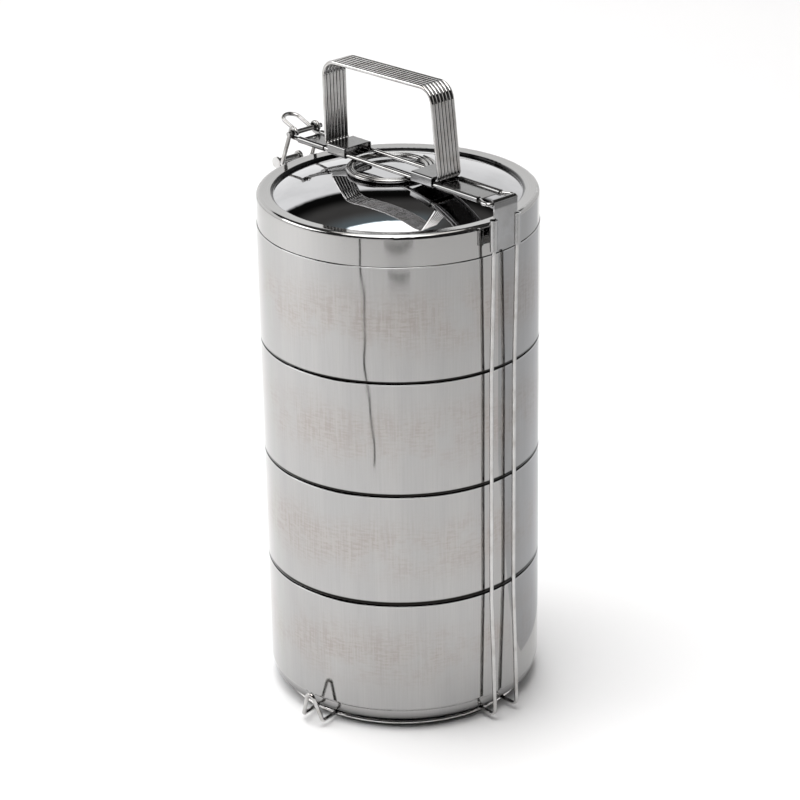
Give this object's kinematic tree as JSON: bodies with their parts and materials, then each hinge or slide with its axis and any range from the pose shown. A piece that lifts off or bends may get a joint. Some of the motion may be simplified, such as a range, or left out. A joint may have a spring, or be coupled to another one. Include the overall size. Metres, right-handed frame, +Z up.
{
  "type": "tiffin carrier",
  "caption": "Round stacked steel lunch carrier: nesting bowls and a lid held in a wire frame, with a hinged bridge, a wire handle, a pressing coil and a latch bail.",
  "frame": {"origin": "middle of the overall footprint, on the ground; the stack's own axis stands 4.6 mm from it towards +X, because the latch reaches further out than the hinge", "axes": "+Z up along the stack, +X towards the bridge's hinge, -X towards the latch, +Y across the wire frame's middle plane"},
  "size_m": [0.1627, 0.158, 0.326],
  "materials": {
    "bowl_steel": "near-mirror stainless steel with a faint upright grain",
    "lid_steel": "mirror-polished stainless steel",
    "wire_steel": "bright drawn stainless wire",
    "plate_steel": "smooth satin stainless sheet"
  },
  "bodies": {
    "frame": {"base_ring": "wire_steel", "side_wire_near": "wire_steel", "side_wire_far": "wire_steel", "guard_near": "wire_steel", "guard_far": "wire_steel", "hinge_plate": "plate_steel", "latch_plate": "plate_steel", "catch_pin": "wire_steel"},
    "bridge": {"bridge_wire": "wire_steel", "arm_plate_hinge": "plate_steel", "arm_plate_latch": "plate_steel", "sleeve_hinge": "plate_steel", "sleeve_latch": "plate_steel", "lid_coil": "wire_steel", "handle_wire_1": "wire_steel", "handle_wire_2": "wire_steel", "handle_wire_3": "wire_steel", "handle_wire_4": "wire_steel", "handle_wire_5": "wire_steel", "handle_wire_6": "wire_steel", "handle_wire_7": "wire_steel"},
    "latch": {"latch_pivot_pin": "wire_steel", "latch_bail": "wire_steel", "finger_loop": "wire_steel"},
    "lid": {"lid": "lid_steel"},
    "tier_1": {"bowl_1": "bowl_steel"},
    "tier_2": {"bowl_2": "bowl_steel"},
    "tier_3": {"bowl_3": "bowl_steel"},
    "tier_4": {"bowl_4": "bowl_steel"}
  },
  "joints": [
    {"name": "bridge_lift", "type": "hinge", "parent": "frame", "child": "bridge", "pos_m": [0.0778, 0, 0.2784], "axis": [0, 1, 0], "range_deg": [0, 215]},
    {"name": "latch_swing", "type": "hinge", "parent": "bridge", "child": "latch", "pos_m": [-0.0646, 0, 0.2808], "axis": [0, 1, 0], "range_deg": [0, 100]},
    {"name": "lid_lift", "type": "slide", "parent": "frame", "child": "lid", "axis": [0, 0, 1], "range_m": [0, 0.053]},
    {"name": "bowl_1_lift", "type": "slide", "parent": "frame", "child": "tier_1", "axis": [0, 0, 1], "range_m": [0, 0.0108]},
    {"name": "bowl_2_lift", "type": "slide", "parent": "frame", "child": "tier_2", "axis": [0, 0, 1], "range_m": [0, 0.0213]},
    {"name": "bowl_3_lift", "type": "slide", "parent": "frame", "child": "tier_3", "axis": [0, 0, 1], "range_m": [0, 0.0318]},
    {"name": "bowl_4_lift", "type": "slide", "parent": "frame", "child": "tier_4", "axis": [0, 0, 1], "range_m": [0, 0.0423]}
  ],
  "couplings": [
    {"joint": "lid_lift", "follows": "bridge_lift", "m_per_rad": 0.014},
    {"joint": "bowl_1_lift", "follows": "bridge_lift", "m_per_rad": 0.0028},
    {"joint": "bowl_2_lift", "follows": "bridge_lift", "m_per_rad": 0.0056},
    {"joint": "bowl_3_lift", "follows": "bridge_lift", "m_per_rad": 0.0084},
    {"joint": "bowl_4_lift", "follows": "bridge_lift", "m_per_rad": 0.0112}
  ]
}
